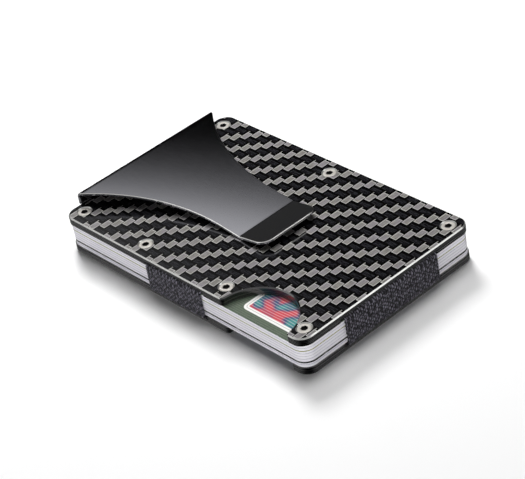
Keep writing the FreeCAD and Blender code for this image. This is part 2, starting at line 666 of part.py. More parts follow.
screw = screw_pattern()
nodes["bottom_screws"] = screw_set("bottom_screws", screw, "0", "+", TURNED_OVER)
nodes["top_screws"] = screw_set("top_screws", screw, LID_TOP, "-", Rotation())

nodes["side_strap"] = strap("side_strap", ALONG_YZ, -1, HALF_WIDTH, "Sizes.side_strap_width",
                            {"x": SIDE_STRAP_X})
nodes["end_strap"] = strap("end_strap", ALONG_XZ, 1, HALF_LENGTH, "Sizes.end_strap_width", {})
for sandwich in ("bottom", "top"):
    for which, across in (("side", True), ("end", False)):
        node = f"{sandwich}_{which}_anchor"
        nodes[node] = anchor(node, across, sandwich == "top")

clip_sheet = clip_strip()
nodes["clip_foot"] = clip_foot(clip_sheet)
leaf_area = prism("clip_leaf_area", leaf_outline(), "Sizes.clip_rise + Sizes.cut_overrun")
nodes["clip_leaf"] = boolean("Common", "clip_leaf", clip_sheet, leaf_area)

for index in range(1, SIZES["card_count"] + 1):
    nodes[f"card_{index}"] = card(index)

doc.recompute()
for item in doc.Objects:
    if "Invalid" in item.State or "Error" in item.State:
        raise RuntimeError(f"{item.Name} failed: {item.State}")
for node, item in nodes.items():
    if item.Shape.isNull() or not item.Shape.isValid():
        raise RuntimeError(f"{node} has no valid shape")

os.makedirs("parts", exist_ok=True)
for node, item in nodes.items():
    item.Label = node
    item.Shape.exportStep(f"parts/{node}.step")
    extent = item.Shape.BoundBox
    print(f"{node:22s} {len(item.Shape.Solids)} solids {item.Shape.Volume:9.2f} mm3  "
          f"x {extent.XMin:.2f}..{extent.XMax:.2f}  y {extent.YMin:.2f}..{extent.YMax:.2f}  "
          f"z {extent.ZMin:.2f}..{extent.ZMax:.2f}")
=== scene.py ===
import math

import bmesh
import bpy
from mathutils import Matrix, Vector, noise


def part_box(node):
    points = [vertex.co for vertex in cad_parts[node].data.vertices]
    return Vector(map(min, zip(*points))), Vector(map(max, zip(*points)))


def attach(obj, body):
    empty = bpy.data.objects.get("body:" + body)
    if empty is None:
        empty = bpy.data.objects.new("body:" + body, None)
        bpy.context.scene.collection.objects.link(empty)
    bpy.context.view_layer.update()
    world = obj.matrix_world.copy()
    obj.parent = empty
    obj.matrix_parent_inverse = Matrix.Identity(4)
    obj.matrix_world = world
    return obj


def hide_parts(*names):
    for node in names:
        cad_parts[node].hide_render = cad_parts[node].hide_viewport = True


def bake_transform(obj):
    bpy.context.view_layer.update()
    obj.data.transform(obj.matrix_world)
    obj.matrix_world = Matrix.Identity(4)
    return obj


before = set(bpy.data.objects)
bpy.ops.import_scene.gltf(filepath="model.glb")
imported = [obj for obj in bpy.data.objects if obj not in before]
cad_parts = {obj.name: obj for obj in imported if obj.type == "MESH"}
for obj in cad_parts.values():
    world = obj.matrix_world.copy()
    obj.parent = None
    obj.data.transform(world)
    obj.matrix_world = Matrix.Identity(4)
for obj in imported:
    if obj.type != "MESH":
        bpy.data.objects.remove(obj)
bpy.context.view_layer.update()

# ---------------------------------------------------------------- camera
# A long lens stands off the +X, -Y corner, above the plates and a little rolled, so that
# the notched side runs down to the right.
MM = 0.001
view_azimuth, view_elevation, view_roll = (math.radians(a) for a in (53.9, 34.45, -11.43))
toward_camera = Vector((
    math.sin(view_azimuth) * math.cos(view_elevation),
    -math.cos(view_azimuth) * math.cos(view_elevation),
    math.sin(view_elevation),
))
view_target = Vector((-4.97, 3.0, 0.0)) * MM
view_distance = 469.2 * MM

camera = bpy.data.objects.new("camera", bpy.data.cameras.new("camera"))
camera.data.lens = 132.24
camera.data.clip_start = 10 * MM
turn = toward_camera.to_track_quat("Z", "Y").to_matrix() @ Matrix.Rotation(view_roll, 3, "Z")
camera.matrix_world = Matrix.Translation(view_target + toward_camera * view_distance) @ turn.to_4x4()
bpy.context.collection.objects.link(camera)
bpy.context.scene.camera = camera


# ---------------------------------------------------------------- floor and studio
# A white table lit by a key from behind the clip, a large lamp overhead and a low fill. What is
# glossy mirrors a sky that is dark low down on the +Y side, and two pale panels under the
# horizon, so that gloss black runs from black to pale grey.
def srgb(code):
    """An sRGB hex colour as the linear RGBA that the nodes take."""
    channels = [int(code[k:k + 2], 16) / 255 for k in (1, 3, 5)]
    return tuple(c / 12.92 if c <= 0.04045 else ((c + 0.055) / 1.055) ** 2.4 for c in channels) + (1.0,)


def add(tree, kind, *inputs, **settings):
    """Adds a node. inputs go to its sockets in order, or by name as (name, value) pairs.

    A node given as a value stands for its first output, and None leaves a socket as it is.
    """
    made = tree.nodes.new("ShaderNode" + kind)
    for name, value in settings.items():
        setattr(made, name, value)
    for place, value in enumerate(inputs):
        if isinstance(value, tuple) and isinstance(value[0], str):
            place, value = value
        if isinstance(value, bpy.types.Node):
            value = value.outputs[0]
        if isinstance(value, bpy.types.NodeSocket):
            tree.links.new(value, made.inputs[place])
        elif value is not None:
            made.inputs[place].default_value = value
    return made


def start_material(name):
    """A material with an empty node tree, and the tree."""
    made = bpy.data.materials.new(name)
    made.use_nodes = True
    made.node_tree.nodes.clear()
    return made, made.node_tree


def show(bm, name, *materials, smooth=32):
    """Turns a bmesh into an object at the origin, smooth up to that angle between its faces."""
    mesh = bpy.data.meshes.new(name)
    bm.to_mesh(mesh)
    bm.free()
    for material in materials:
        mesh.materials.append(material)
    mesh.shade_smooth()
    mesh.set_sharp_from_angle(angle=math.radians(smooth))
    made = bpy.data.objects.new(name, mesh)
    bpy.context.collection.objects.link(made)
    return made


# Matt white laminate: bright, with no pattern and only a broad weak sheen.
table_white, tree = start_material("table_white")
add(tree, "OutputMaterial", add(
    tree, "BsdfPrincipled", ("Base Color", srgb("#f6f6f6")), ("Roughness", 0.6),
    ("Specular IOR Level", 0.2)))

bm = bmesh.new()
bmesh.ops.create_grid(bm, x_segments=1, y_segments=1, size=2.0)
floor = show(bm, "floor", table_white)
floor.visible_glossy = False

SKY_LEAN = (0.2, -2.4, 1.0)          # the way across the sky from its dark part to its bright one
SKY_STEPS = (                        # (place along that way, brightness)
    (-0.735, 0.0), (-0.70, 0.035), (-0.66, 0.13), (-0.635, 0.25), (-0.61, 0.43),
    (-0.58, 0.78), (-0.55, 1.0),
)
SKY_LOW, SKY_HIGH = -0.8, -0.4       # the stretch of that way that the ramp covers
SKY_FOOT, SKY_FULL = 0.10, 0.60      # the sky fades in between these heights
PANEL_START, PANEL_FULL = 0.45, 1.10     # and the low panels between these sizes of x + y
PANEL_BRIGHTNESS = 0.30
studio = bpy.data.worlds.new("studio")
studio.use_nodes = True
tree = studio.node_tree
tree.nodes.clear()
gaze = add(tree, "TexCoord").outputs["Generated"]
direction = add(tree, "SeparateXYZ", gaze)
leaning = add(tree, "VectorMath", gaze, SKY_LEAN, operation="DOT_PRODUCT").outputs["Value"]
ramp = add(tree, "ValToRGB", add(tree, "MapRange", leaning, SKY_LOW, SKY_HIGH))
while len(ramp.color_ramp.elements) < len(SKY_STEPS):
    ramp.color_ramp.elements.new(0.5)
for stop, (level, brightness) in zip(ramp.color_ramp.elements, SKY_STEPS):
    stop.position = (level - SKY_LOW) / (SKY_HIGH - SKY_LOW)
    stop.color = (brightness, brightness, brightness, 1.0)
dusk = add(
    tree, "MapRange", direction.outputs["Z"], SKY_FOOT, SKY_FULL, interpolation_type="SMOOTHSTEP")
sky = add(tree, "Math", ramp, dusk, operation="MULTIPLY")
sideways = add(tree, "Math", add(
    tree, "Math", direction.outputs["X"], direction.outputs["Y"], operation="ADD"),
    operation="ABSOLUTE")
low_panels = add(tree, "MapRange", sideways, PANEL_START, PANEL_FULL, 0.0, PANEL_BRIGHTNESS)
below = add(tree, "Math", direction.outputs["Z"], 0.0, operation="LESS_THAN")
low_panels = add(tree, "Math", low_panels, below, operation="MULTIPLY")
add(tree, "OutputWorld", add(tree, "Background", None, add(
    tree, "Math", sky, low_panels, operation="ADD")))
studio.cycles_visibility.diffuse = False
bpy.context.scene.world = studio
bpy.context.scene.view_settings.view_transform = "Standard"

SOFTBOXES = (             # name, direction, distance, side, watts, lights matt, seen in gloss
    ("key", (-0.62, 0.38, 0.68), 0.60, 0.20, 3.5, True, False),
    ("overhead", (-0.15, 0.25, 1.00), 0.60, 0.30, 2.2, True, False),
    ("low_fill", (0.62, -0.78, 0.05), 0.80, 0.40, 4.6, True, False),
    ("right_card", (0.57, 0.49, 0.66), 0.70, 0.30, 0.9, False, True),
    ("near_card", (-0.60, -0.62, 0.50), 0.70, 0.40, 0.5, False, True),
)
for name, heading, distance, side, watts, lights, mirrored in SOFTBOXES:
    lamp = bpy.data.objects.new(name, bpy.data.lights.new(name, "AREA"))
    lamp.data.energy = watts
    lamp.data.size = side
    lamp.visible_diffuse = lights
    lamp.visible_glossy = mirrored
    heading = Vector(heading).normalized()
    turn = heading.to_track_quat("Z", "Y").to_matrix().to_4x4()
    lamp.matrix_world = Matrix.Translation(heading * distance) @ turn
    bpy.context.collection.objects.link(lamp)


# ---------------------------------------------------------------- outer plates
# Two plates routed from 1.1 mm carbon-fibre laminate, one over and one under the cards.
# Each has a chamfered rim, countersunk holes and a thumb notch open to one long side.
HAIR = 0.001 * MM             # points closer than this are one point


def merged_copy(node):
    """A CAD node's shape as a bmesh, with its loose triangles joined into whole faces."""
    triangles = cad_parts[node].data.copy()
    triangles.attributes.remove(triangles.attributes["custom_normal"])
    bm = bmesh.new()
    bm.from_mesh(triangles)
    bpy.data.meshes.remove(triangles)
    bmesh.ops.remove_doubles(bm, verts=bm.verts[:], dist=HAIR)
    bmesh.ops.dissolve_limit(
        bm, angle_limit=math.radians(0.4), verts=bm.verts[:], edges=bm.edges[:])
    return bm


def own_millimetres(tree, scale=(1, 1, 1), shift=(0, 0, 0)):
    """The piece's own coordinates in millimetres, scaled and then shifted."""
    place = add(tree, "TexCoord").outputs["Object"]
    return add(tree, "Mapping", place, shift, None, tuple(s / MM for s in scale))


# Clear-coated 2x2 twill carbon fibre: every tow passes over two and under two, so its
# floats step up a diagonal. The tows along Y are painted pale grey as sheen, those along X stay black.
TOW_PITCH = (2.03, 1.94)      # mm, between tows side by side along X and along Y
TOW_SHIFT = (0.44, 2.125)     # tows, where the first one starts
FIBRE = 0.13                  # mm between the streaks, real filaments are far finer
carbon_twill, tree = start_material("carbon_twill")
tow = add(tree, "SeparateXYZ", own_millimetres(
    tree, (1 / TOW_PITCH[0], 1 / TOW_PITCH[1], 1), (*TOW_SHIFT, 0)))
across, along = tow.outputs["X"], tow.outputs["Y"]
column = add(tree, "Math", across, operation="FLOOR")
row = add(tree, "Math", along, operation="FLOOR")
in_column = add(tree, "Math", across, operation="FRACT")
in_row = add(tree, "Math", along, operation="FRACT")
raised_run = add(tree, "Math", add(
    tree, "Math", along, column, operation="SUBTRACT"), 4.0, operation="FLOORED_MODULO")
sunk_run = add(tree, "Math", add(
    tree, "Math", across, row, operation="SUBTRACT"), 4.0, operation="FLOORED_MODULO")


def float_inset(run, start, end, side, low, high):
    """How far inside one float a point is, in tows: below zero outside it."""
    ends = add(tree, "Math", add(tree, "Math", run, start, operation="SUBTRACT"),
               add(tree, "Math", end, run, operation="SUBTRACT"), operation="MINIMUM")
    sides = add(tree, "Math", add(tree, "Math", side, low, operation="SUBTRACT"),
                add(tree, "Math", high, side, operation="SUBTRACT"), operation="MINIMUM")
    return add(tree, "Math", ends, sides, operation="MINIMUM")


raised = float_inset(raised_run, 0.26, 1.70, in_column, 0.04, 0.96)
# Painted highlight: a thin pale strip along one side of each raised float.
float_side_painted_highlight = float_inset(raised_run, 0.6, 2.02, in_column, 0.04, 0.17)
sunk = float_inset(sunk_run, 1.16, 2.80, in_row, 0.09, 0.91)
raised_share = add(tree, "MapRange", raised, 0.0, 0.05, interpolation_type="SMOOTHSTEP")
float_side_highlight_share = add(tree, "MapRange", float_side_painted_highlight, 0.0, 0.04, interpolation_type="SMOOTHSTEP")
sunk_share = add(tree, "MapRange", sunk, 0.0, 0.12, interpolation_type="SMOOTHSTEP")
# Painted highlight: each raised float turns paler just inside its edges.
float_rim_painted_highlight = add(tree, "MapRange", raised, 0.14, 0.07, interpolation_type="SMOOTHSTEP")
lengthwise = add(tree, "TexNoise", ("Vector", own_millimetres(
    tree, (1 / FIBRE, 0.7, 1))), ("Scale", 1.0), ("Detail", 2.0))
crosswise = add(tree, "TexNoise", ("Vector", own_millimetres(
    tree, (0.7, 1 / FIBRE, 1))), ("Scale", 1.0), ("Detail", 2.0))
blotches = add(tree, "TexNoise", ("Vector", own_millimetres(
    tree, (0.35, 0.35, 1))), ("Scale", 1.0), ("Detail", 1.0))
# Painted sheen: the raised floats are pale grey, with fibre streaks and violet blotches in it.
raised_fibre_painted_sheen = add(tree, "MixRGB", add(
    tree, "MapRange", lengthwise, 0.3, 0.7), srgb("#5a5954"), srgb("#8c8a85"))
raised_fibre_painted_sheen = add(tree, "MixRGB", float_rim_painted_highlight, raised_fibre_painted_sheen, srgb("#c0bfba"))
raised_fibre_painted_sheen = add(tree, "MixRGB", add(
    tree, "MapRange", blotches, 0.35, 0.65), raised_fibre_painted_sheen,
    add(tree, "MixRGB", 0.35, raised_fibre_painted_sheen, srgb("#8b8494")))
sunk_fibre = add(tree, "MixRGB", add(
    tree, "MapRange", crosswise, 0.35, 0.7), srgb("#0c0c0e"), srgb("#232327"))
weave = add(tree, "MixRGB", sunk_share, srgb("#010101"), sunk_fibre)
weave = add(tree, "MixRGB", float_side_highlight_share, weave, srgb("#a6a5a0"))
weave = add(tree, "MixRGB", raised_share, weave, raised_fibre_painted_sheen)
tow_height = add(tree, "Math", add(tree, "MapRange", raised, 0.0, 0.3), add(
    tree, "MapRange", sunk, 0.0, 0.3), operation="MAXIMUM")
tow_height = add(tree, "Math", lengthwise, 0.25, tow_height, operation="MULTIPLY_ADD")
add(tree, "OutputMaterial", add(
    tree, "BsdfPrincipled", ("Base Color", weave), ("Roughness", 0.42), ("IOR", 1.5),
    ("Specular IOR Level", 0.06), ("Coat Weight", 1.0), ("Coat Roughness", 0.05),
    ("Coat IOR", 1.5),
    ("Normal", add(tree, "Bump", 0.35, 0.05 * MM, ("Height", tow_height)))))

# The routed chamfer: cut through the cured plies and clear-coated again, so it is a pale
# grey line with the ends of the fibres in it.
routed_chamfer, tree = start_material("routed_chamfer")
cut_ends = add(tree, "TexNoise", ("Vector", own_millimetres(tree, (1.6, 1.6, 9))), ("Scale", 1.0))
add(tree, "OutputMaterial", add(
    tree, "BsdfPrincipled",
    ("Base Color", add(tree, "MixRGB", cut_ends, srgb("#858583"), srgb("#c4c4c1"))),
    ("Metallic", 0.6), ("Roughness", 0.3), ("Coat Weight", 1.0), ("Coat Roughness", 0.1)))

# The polished edge of the laminate: five black plies show as fine lines round the rim.
PLY = 0.22                    # mm, one ply of the laminate
ply_edge, tree = start_material("ply_edge")
height_in_plies = add(tree, "SeparateXYZ", own_millimetres(tree, (1, 1, 1 / PLY))).outputs["Z"]
ply_line = add(tree, "Math", add(
    tree, "Math", height_in_plies, 1.0, operation="PINGPONG"), 2.0, operation="POWER")
add(tree, "OutputMaterial", add(
    tree, "BsdfPrincipled",
    ("Base Color", add(tree, "MixRGB", ply_line, srgb("#050506"), srgb("#1d1d1f"))),
    ("Roughness", 0.2), ("Coat Weight", 1.0), ("Coat Roughness", 0.06)))

WEAVE_SIDE, CHAMFER_SIDE, EDGE_SIDE = 0, 1, 2
FLAT_SLOPE, EDGE_SLOPE = 0.95, 0.2    # a face's upward share: more is flat, less is upright
NOTCH_CENTRE = Vector((27.0, -27.19)) * MM
NOTCH_REACH = 11.4 * MM       # the notch's own chamfer ends within this radius
for side, body in (("top", "lid"), ("bottom", "base")):
    bm = merged_copy(f"{side}_outer_plate")
    for face in bm.faces:
        slope = abs(face.normal.z)
        in_notch = (face.calc_center_median().xy - NOTCH_CENTRE).length < NOTCH_REACH
        face.material_index = CHAMFER_SIDE
        if slope > FLAT_SLOPE:
            face.material_index = WEAVE_SIDE
        elif slope < EDGE_SLOPE or in_notch:
            face.material_index = EDGE_SIDE
    plate = show(bm, f"{side}_carbon_plate", carbon_twill, routed_chamfer, ply_edge)
    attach(plate, body)
    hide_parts(f"{side}_outer_plate")

# ---------------------------------------------------------------- inner plates
# Milled aluminium plates under the carbon, pocketed for the straps and the clip's foot.
# They are anodised dark grey, and the cutter's lines run along their edges.
CUTTER_LINE = 0.16            # mm, height of one cutter line on the edge
anodised_aluminium, tree = start_material("anodised_aluminium")
lines = add(tree, "TexNoise", ("Vector", own_millimetres(
    tree, (0.06, 0.06, 1 / CUTTER_LINE))), ("Scale", 1.0), ("Detail", 3.0))
add(tree, "OutputMaterial", add(
    tree, "BsdfPrincipled",
    ("Base Color", add(tree, "MixRGB", add(
        tree, "MapRange", lines, 0.35, 0.65), srgb("#4a4a4e"), srgb("#828280"))),
    ("Metallic", 1.0), ("Roughness", add(tree, "MapRange", lines, 0.3, 0.7, 0.20, 0.32)),
    ("Normal", add(tree, "Bump", 0.2, 0.02 * MM, ("Height", lines)))))
for side in ("top", "bottom"):
    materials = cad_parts[f"{side}_inner_plate"].data.materials
    materials.clear()
    materials.append(anodised_aluminium)

# ---------------------------------------------------------------- strap anchors
# Moulded ABS bars that hold the ends of the straps inside the pockets, one at each end of
# each strap. Their spark-eroded mould leaves a fine matt grain.
moulded_abs, tree = start_material("moulded_abs")
grain = add(tree, "TexNoise", ("Vector", own_millimetres(tree, (7, 7, 7))), ("Scale", 1.0))
add(tree, "OutputMaterial", add(
    tree, "BsdfPrincipled",
    ("Base Color", add(tree, "MixRGB", grain, srgb("#161617"), srgb("#232324"))),
    ("Roughness", 0.6), ("Normal", add(tree, "Bump", 0.3, 0.03 * MM, ("Height", grain)))))
for node in ("top_side_anchor", "top_end_anchor", "bottom_side_anchor", "bottom_end_anchor"):
    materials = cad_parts[node].data.materials
    materials.clear()
    materials.append(moulded_abs)

# ---------------------------------------------------------------- elastic straps
# Two bands of woven elastic, one round the long side and one round the end, pull the plates
# together. Covered rubber threads run round the band and the weft ties them in brick order.
STRAP_THICK = 0.6             # mm
STRAP_BEND = 0.55             # mm, radius of the middle line where it leaves a pocket
STRAP_CELL = 0.13             # mm, one face of the mesh
THREAD_PITCH = 0.62           # mm, between threads across the band
STITCH = 1.05                 # mm, from one weft tie to the next along a thread
THREAD_DEPTH = 0.13           # mm, from a thread's crown to the ties

# Polyester-covered elastic: matt charcoal with violet flecks, and painted shade near black in the ties.
elastic_weave, tree = start_material("elastic_weave")
thread_height = add(tree, "Attribute", attribute_name="crown").outputs["Fac"]
fleck = add(tree, "TexNoise", ("Vector", add(
    tree, "Mapping", add(tree, "TexCoord").outputs["UV"], None, None, (1.5, 1.1, 1))),
    ("Scale", 1.0), ("Detail", 2.0))
yarn = add(tree, "MixRGB", add(
    tree, "MapRange", fleck, 0.42, 0.62), srgb("#24232a"), srgb("#8f8c9a"))
yarn = add(tree, "MixRGB", add(
    tree, "MapRange", fleck, 0.6, 0.75), yarn, srgb("#54424f"))
# Painted shade: the woven face darkens towards black as it sinks into a tie.
add(tree, "OutputMaterial", add(
    tree, "BsdfPrincipled",
    ("Base Color", add(tree, "MixRGB", add(
        tree, "MapRange", thread_height, 0.25, 0.95), srgb("#030304"), yarn)),
    ("Roughness", 0.8), ("Specular IOR Level", 0.3), ("Sheen Weight", 0.15),
    ("Sheen Roughness", 0.4)))


def strap_line(run, reach, rise):
    """Distance out, height and heading of the band's middle line, run along it from its lower end."""
    quarter = STRAP_BEND * math.pi / 2
    if run > reach + quarter + rise / 2:
        out, up, heading = strap_line(2 * (reach + quarter) + rise - run, reach, rise)
        return out, 2 * STRAP_BEND + rise - up, math.pi - heading
    if run < reach:
        return run, 0.0, 0.0
    if run < reach + quarter:
        heading = (run - reach) / STRAP_BEND
        return (reach + STRAP_BEND * math.sin(heading),
                STRAP_BEND * (1 - math.cos(heading)), heading)
    return reach + STRAP_BEND, STRAP_BEND + run - reach - quarter, math.pi / 2


def thread_crown(across, run):
    """Height of the woven face at a point of the flat band, from 0 in a tie to 1 on a crown."""
    column = math.floor(across / THREAD_PITCH)
    sway = 0.12 * noise.noise(Vector((column * 1.7, run * 0.8, 0.0)))
    side = abs(math.sin(math.pi * (across / THREAD_PITCH + sway)))
    drift = 0.25 * noise.noise(Vector((column * 3.1, run, 5.0)))
    brick = run / STITCH + 0.5 * (column % 2) + drift
    return side ** 0.6 * abs(math.sin(math.pi * brick)) ** 0.55


for name, outwards in (("side_strap", Vector((0, -1, 0))), ("end_strap", Vector((1, 0, 0)))):
    low, high = (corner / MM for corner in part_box(name))
    widthwise = Vector((0, 0, 1)).cross(outwards)
    middle = (low + high) / 2
    extent = high - low
    width = abs(extent.dot(widthwise))
    depth = abs(extent.dot(outwards))
    reach = depth - STRAP_THICK / 2 - STRAP_BEND
    rise = extent.z - STRAP_THICK - 2 * STRAP_BEND
    length = 2 * reach + rise + math.pi * STRAP_BEND
    root = middle - outwards * depth / 2
    root.z = low.z + STRAP_THICK / 2

    bm = bmesh.new()
    bmesh.ops.create_grid(
        bm, x_segments=round(width / STRAP_CELL), y_segments=round(length / STRAP_CELL), size=0.5)
    flat_map = bm.loops.layers.uv.new("flat")
    crowns = bm.verts.layers.float.new("crown")
    for face in bm.faces:
        for loop in face.loops:
            loop[flat_map].uv = ((loop.vert.co.x + 0.5) * width, (loop.vert.co.y + 0.5) * length)
    for vertex in bm.verts:
        across, run = (vertex.co.x + 0.5) * width, (vertex.co.y + 0.5) * length
        lift = thread_crown(across, run)
        out, up, heading = strap_line(run, reach, rise)
        proud = STRAP_THICK / 2 - THREAD_DEPTH * (1 - lift)
        place = root + outwards * (out + proud * math.sin(heading))
        place += widthwise * (across - width / 2)
        place.z += up - proud * math.cos(heading)
        vertex.co = place * MM
        vertex[crowns] = lift
    bmesh.ops.recalc_face_normals(bm, faces=bm.faces[:])
    if sum(face.normal.dot(outwards) * face.calc_area() for face in bm.faces) < 0:
        bmesh.ops.reverse_faces(bm, faces=bm.faces[:])
    bmesh.ops.solidify(bm, geom=bm.faces[:], thickness=(STRAP_THICK - THREAD_DEPTH) * MM)
    band = show(bm, f"{name}_elastic", elastic_weave, smooth=60)
    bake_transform(band)
    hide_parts(name)

# ---------------------------------------------------------------- screws
# Seven countersunk socket screws close each pair of plates. They are turned from stainless
# steel, with a flat bright face, a rolled rim and a hexagonal socket for a 1.5 mm key.
SOCKET_ACROSS = 1.5           # mm, between the socket's flats
SOCKET_CORNER = SOCKET_ACROSS / 2 / math.cos(math.pi / 6)     # mm, from the axis to a corner
SOCKET_DEEP = 0.6             # mm
SHANK_RADIUS = 1.0            # mm
SHANK_CHAMFER = 0.12          # mm, at the tip
SCREW_SIDES = 48
HEXAGON, CIRCLE = "hexagon", "circle"
SCREW_RINGS = (               # shape, mm outside the hexagon or from the axis, mm under the face
    (HEXAGON, 0.0, SOCKET_DEEP), (HEXAGON, 0.0, 0.09), (HEXAGON, 0.09, 0.03),
    (CIRCLE, 1.15, 0.0), (CIRCLE, 1.42, 0.01), (CIRCLE, 1.55, 0.04),
    (CIRCLE, 1.63, 0.12), (CIRCLE, 1.66, 0.22),
)
SOCKET_ROUNDING = 0.02        # mm, how far past its corners a face still counts as the socket's
TURNING = 0.11                # mm, between the turned rings, drawn coarser than real

# Turned stainless steel, passivated: bright and faintly warm, with rings about its axis.
turned_steel, tree = start_material("turned_steel")
off_axis = add(tree, "SeparateXYZ", add(tree, "TexCoord").outputs["UV"]).outputs["X"]
turned_rings = add(tree, "Math", add(
    tree, "Math", off_axis, math.tau / TURNING, operation="MULTIPLY"), operation="SINE")
stain = add(tree, "TexNoise", ("Vector", own_millimetres(tree, (0.8, 0.8, 0.8))), ("Scale", 1.0))
add(tree, "OutputMaterial", add(
    tree, "BsdfPrincipled",
    ("Base Color", add(tree, "MixRGB", stain, srgb("#d9d3ca"), srgb("#f6f3ee"))),
    ("Metallic", 0.72), ("Roughness", 0.42),
    ("Normal", add(tree, "Bump", 0.12, 0.01 * MM, ("Height", turned_rings)))))

# The socket is punched and left unpolished, and painted near black as the shade in it.
socket_painted_shade, tree = start_material("socket_painted_shade")
socket_mottle = add(tree, "TexNoise", ("Vector", own_millimetres(tree, (3, 3, 3))), ("Scale", 1.0))
add(tree, "OutputMaterial", add(
    tree, "BsdfPrincipled",
    ("Base Color", add(tree, "MixRGB", socket_mottle, srgb("#070707"), srgb("#1c1a19"))),
    ("Metallic", 0.4), ("Roughness", 0.5)))


def screw_blank(bm, centre, face_z, tip_z):
    """One screw about a vertical axis, its face at face_z and its tip at tip_z, all in mm."""
    down = 1 if tip_z > face_z else -1
    cone = SCREW_RINGS[-1][1] - SHANK_RADIUS
    depth = abs(tip_z - face_z)
    rings = SCREW_RINGS + (
        (CIRCLE, SHANK_RADIUS, SCREW_RINGS[-1][2] + cone),
        (CIRCLE, SHANK_RADIUS, depth - SHANK_CHAMFER),
        (CIRCLE, SHANK_RADIUS - SHANK_CHAMFER, depth))
    turned = bm.loops.layers.uv.verify()
    ring = bmesh.ops.create_circle(bm, segments=SCREW_SIDES, radius=1.0)["verts"]
    heading = {vertex: math.atan2(vertex.co.y, vertex.co.x) for vertex in ring}
    edges = list({edge for vertex in ring for edge in vertex.link_edges})
    walls = [bmesh.ops.contextual_create(bm, geom=edges)["faces"][0]]
    spread = {}
    for number, (shape, radius, sink) in enumerate(rings):
        if number > 0:
            grown = bmesh.ops.extrude_edge_only(bm, edges=edges)["geom"]
            edges = [part for part in grown if isinstance(part, bmesh.types.BMEdge)
                     and len(part.link_faces) == 1]
            walls += [part for part in grown if isinstance(part, bmesh.types.BMFace)]
            ring = list({vertex for edge in edges for vertex in edge.verts})
            heading = {vertex: math.atan2(vertex.co.y - centre.y * MM, vertex.co.x - centre.x * MM)
                       for vertex in ring}
        for vertex in ring:
            angle = heading[vertex]
            out = radius
            if shape == HEXAGON:
                off_flat = (angle + math.pi / 6) % (math.pi / 3) - math.pi / 6
                out = radius + SOCKET_ACROSS / 2 / math.cos(off_flat)
            spread[vertex] = out
            vertex.co = Vector((
                centre.x + out * math.cos(angle), centre.y + out * math.sin(angle),
                face_z + down * sink)) * MM
    walls += bmesh.ops.contextual_create(bm, geom=edges)["faces"]
    for face in walls:
        for loop in face.loops:
            loop[turned].uv = (spread[loop.vert], 0.0)
        widest = max(spread[vertex] for vertex in face.verts)
        face.material_index = 1 if widest < SOCKET_CORNER + SOCKET_ROUNDING else 0


def islands(node):
    """The boxes, in mm, of the separate solids in a CAD node, from its lowest X to its highest."""
    bm = merged_copy(node)
    left, boxes = set(bm.verts), []
    while left:
        solid = [left.pop()]
        for vertex in solid:          # grows as it finds its neighbours, until it has them all
            for edge in vertex.link_edges:
                neighbour = edge.other_vert(vertex)
                if neighbour in left:
                    left.remove(neighbour)
                    solid.append(neighbour)
        sides = [[vertex.co[axis] / MM for vertex in solid] for axis in range(3)]
        boxes.append((Vector([min(s) for s in sides]), Vector([max(s) for s in sides])))
    bm.free()
    return sorted(boxes, key=lambda box: tuple(box[0]))


for side, body in (("top", "lid"), ("bottom", "base")):
    bm = bmesh.new()
    for low, high in islands(f"{side}_screws"):
        face_z, tip_z = (high.z, low.z) if side == "top" else (low.z, high.z)
        screw_blank(bm, (low + high) / 2, face_z, tip_z)
    bmesh.ops.recalc_face_normals(bm, faces=bm.faces[:])
    screws = show(bm, f"{side}_socket_screws", turned_steel, socket_painted_shade)
    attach(screws, body)
    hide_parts(f"{side}_screws")

# ---------------------------------------------------------------- money clip
# One strip of 0.7 mm spring steel: its foot is screwed in under the lid's carbon plate. It
# stands up at the end, folds over the crown and sweeps in to a narrow tongue whose tip lifts.
CLIP_THICK = 0.7              # mm
FOOT_BEND = 0.9               # mm, outer radius of the fold at the foot
CROWN = 1.7                   # mm, outer radius of the fold at the top
BOW = 520.0                   # mm, radius of the long bowed leaf
TIP_BEND = 1.0                # mm, inner radius of the fold before the tip
LEAF_REACH, TIP_GAP = 45.4, 0.12            # mm, from the wall to the tip's fold, and over the lid
LIP_LENGTH, LIP_RISE, LIP_ROUND = 9.2, 1.5, 3.0     # mm, the lifted tip
SWEEP_START, SWEEP_END = 1.6, 39.0          # mm from the wall, where the sides sweep in
LEAF_HALF, NECK_HALF = 22.0, 8.9            # mm
WALL_HALF, SHOULDER = 21.0, 0.3             # mm, the wall under its shoulders, and their height
EAR_SETBACK, EAR_ROUND = 1.1, 0.9           # mm
CUT_BEVEL = 0.13                            # mm, the deburred edge
FLAT_STEP, WALL_STEP = 0.5, 0.25            # mm, between stations on straight runs
FOOT_TURNS, CROWN_TURNS, BOW_TURNS, TIP_TURNS, LIP_TURNS = 8, 14, 90, 6, 12     # stations in arcs
foot_low, foot_high = (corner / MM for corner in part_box("clip_foot"))
leaf_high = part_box("clip_leaf")[1] / MM
wall_x, ear_half, lip_end = foot_low.x, foot_high.y, leaf_high.x
lid_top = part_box("top_outer_plate")[1].z / MM

